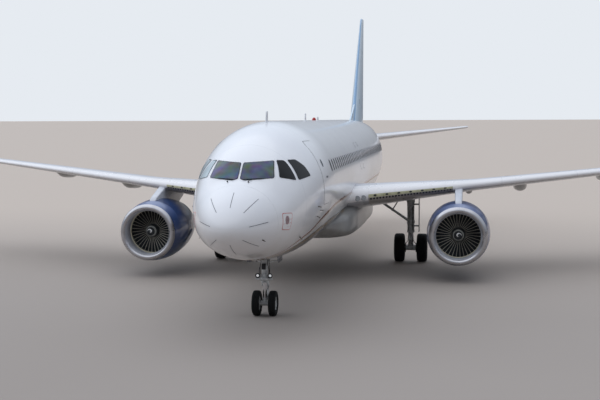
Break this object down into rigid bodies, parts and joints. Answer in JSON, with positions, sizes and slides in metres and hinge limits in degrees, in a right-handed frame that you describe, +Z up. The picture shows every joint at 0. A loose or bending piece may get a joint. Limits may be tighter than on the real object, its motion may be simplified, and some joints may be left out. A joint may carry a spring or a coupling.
{
  "type": "narrow-body twin-engine airliner",
  "caption": "Narrow-body airliner on its landing gear, with turning fans and wheels, nose steering, rudder, elevators, ailerons, spoilers and cargo doors.",
  "frame": {"origin": "on the ground, on the centre line, half way along the aircraft, with the bounding box's bottom centre there", "axes": "+X to the aircraft's left wing, +Y aft along the longest extent, +Z up"},
  "size_m": [34.1, 37.57, 11.76],
  "materials": {
    "white_paint": "gloss",
    "belly_grey": "satin",
    "wing_grey": "satin",
    "nacelle_blue": "gloss",
    "fin_blue": "gloss",
    "polished_lip": "polished",
    "hot_metal": "heat-stained",
    "fan_metal": "satin",
    "gear_paint": "satin",
    "chrome_piston": "polished",
    "tyre": "matte",
    "glazing": "clear"
  },
  "bodies": {
    "airframe": {"radome": "white_paint", "nose_section": "white_paint", "forward_fuselage": "white_paint", "centre_fuselage": "white_paint", "aft_fuselage": "white_paint", "tail_cone": "white_paint", "cockpit_glazing": "glazing", "front_door_left": "white_paint", "front_door_right": "white_paint", "rear_door_left": "white_paint", "rear_door_right": "white_paint", "belly_fairing": "belly_grey", "wing_left": "wing_grey", "wing_right": "wing_grey", "inboard_slat_left": "wing_grey", "inboard_slat_right": "wing_grey", "pylon_left": "belly_grey", "pylon_right": "belly_grey", "inlet_lip_left": "polished_lip", "inlet_lip_right": "polished_lip", "nacelle_left": "nacelle_blue", "nacelle_right": "nacelle_blue", "core_engine_left": "hot_metal", "core_engine_right": "hot_metal", "fin": "fin_blue", "tailplane_left": "wing_grey", "tailplane_right": "wing_grey", "nose_leg": "gear_paint", "main_leg_left": "gear_paint", "main_leg_right": "gear_paint"},
    "forward_cargo_door": {"forward_cargo_door": "white_paint"},
    "aft_cargo_door": {"aft_cargo_door": "white_paint"},
    "inner_spoiler_left": {"inner_spoiler_left": "wing_grey"},
    "inner_spoiler_right": {"inner_spoiler_right": "wing_grey"},
    "outer_spoiler_left": {"outer_spoiler_left": "wing_grey"},
    "outer_spoiler_right": {"outer_spoiler_right": "wing_grey"},
    "aileron_left": {"aileron_left": "wing_grey"},
    "aileron_right": {"aileron_right": "wing_grey"},
    "fan_left": {"fan_left": "fan_metal"},
    "fan_right": {"fan_right": "fan_metal"},
    "rudder": {"rudder": "fin_blue"},
    "elevator_left": {"elevator_left": "wing_grey"},
    "elevator_right": {"elevator_right": "wing_grey"},
    "nose_steering": {"nose_fork": "chrome_piston"},
    "nose_wheels": {"nose_wheels": "gear_paint", "nose_tyre_left": "tyre", "nose_tyre_right": "tyre"},
    "main_wheels_left": {"main_wheels_left": "gear_paint", "main_tyre_outer_left": "tyre", "main_tyre_inner_left": "tyre"},
    "main_wheels_right": {"main_wheels_right": "gear_paint", "main_tyre_outer_right": "tyre", "main_tyre_inner_right": "tyre"}
  },
  "joints": [
    {"name": "inner_spoiler_left_hinge", "type": "hinge", "parent": "airframe", "child": "inner_spoiler_left", "pos_m": [4.65, -2.05824, 3.30653], "axis": [0.9853, 0.1618, 0.0556], "range_deg": [0, 50]},
    {"name": "inner_spoiler_right_hinge", "type": "hinge", "parent": "airframe", "child": "inner_spoiler_right", "pos_m": [-4.65, -2.05824, 3.30653], "axis": [0.9853, -0.1618, -0.0556], "range_deg": [0, 50]},
    {"name": "outer_spoiler_left_hinge", "type": "hinge", "parent": "airframe", "child": "outer_spoiler_left", "pos_m": [9.45, -0.78945, 3.66928], "axis": [0.9347, 0.3479, 0.0734], "range_deg": [0, 50]},
    {"name": "outer_spoiler_right_hinge", "type": "hinge", "parent": "airframe", "child": "outer_spoiler_right", "pos_m": [-9.45, -0.78945, 3.66928], "axis": [0.9347, -0.3479, -0.0734], "range_deg": [0, 50]},
    {"name": "aileron_left_hinge", "type": "hinge", "parent": "airframe", "child": "aileron_left", "pos_m": [14.3, 1.16328, 3.98536], "axis": [0.9393, 0.3327, 0.0832], "range_deg": [-25, 25]},
    {"name": "aileron_right_hinge", "type": "hinge", "parent": "airframe", "child": "aileron_right", "pos_m": [-14.3, 1.16328, 3.98536], "axis": [0.9393, -0.3327, -0.0832], "range_deg": [-25, 25]},
    {"name": "elevator_left_hinge", "type": "hinge", "parent": "airframe", "child": "elevator_left", "pos_m": [3.68, 16.83155, 5.15166], "axis": [0.958, 0.2685, 0.101], "range_deg": [-17, 30]},
    {"name": "elevator_right_hinge", "type": "hinge", "parent": "airframe", "child": "elevator_right", "pos_m": [-3.68, 16.83155, 5.15166], "axis": [0.958, -0.2685, -0.101], "range_deg": [-17, 30]},
    {"name": "rudder_hinge", "type": "hinge", "parent": "airframe", "child": "rudder", "pos_m": [0, 17.28927, 8.765], "axis": [0, 0.2606, 0.9654], "range_deg": [-25, 25]},
    {"name": "forward_cargo_hinge", "type": "hinge", "parent": "airframe", "child": "forward_cargo_door", "pos_m": [-1.88958, -10.625, 3.256], "axis": [0, 1, 0], "range_deg": [0, 100]},
    {"name": "aft_cargo_hinge", "type": "hinge", "parent": "airframe", "child": "aft_cargo_door", "pos_m": [-1.88958, 4.125, 3.256], "axis": [0, 1, 0], "range_deg": [0, 100]},
    {"name": "fan_left_spin", "type": "hinge", "parent": "airframe", "child": "fan_left", "pos_m": [5.75, -6.055, 1.705], "axis": [0, 1, 0], "continuous": true},
    {"name": "fan_right_spin", "type": "hinge", "parent": "airframe", "child": "fan_right", "pos_m": [-5.75, -6.055, 1.705], "axis": [0, 1, 0], "continuous": true},
    {"name": "nose_steering", "type": "hinge", "parent": "airframe", "child": "nose_steering", "pos_m": [0, -13.715, 1], "axis": [0, 0, 1], "range_deg": [-75, 75]},
    {"name": "nose_wheels_roll", "type": "hinge", "parent": "nose_steering", "child": "nose_wheels", "pos_m": [0, -13.715, 0.381], "axis": [1, 0, 0], "continuous": true},
    {"name": "main_wheels_left_roll", "type": "hinge", "parent": "airframe", "child": "main_wheels_left", "pos_m": [3.795, -1.075, 0.584], "axis": [1, 0, 0], "continuous": true},
    {"name": "main_wheels_right_roll", "type": "hinge", "parent": "airframe", "child": "main_wheels_right", "pos_m": [-3.795, -1.075, 0.584], "axis": [1, 0, 0], "continuous": true}
  ]
}
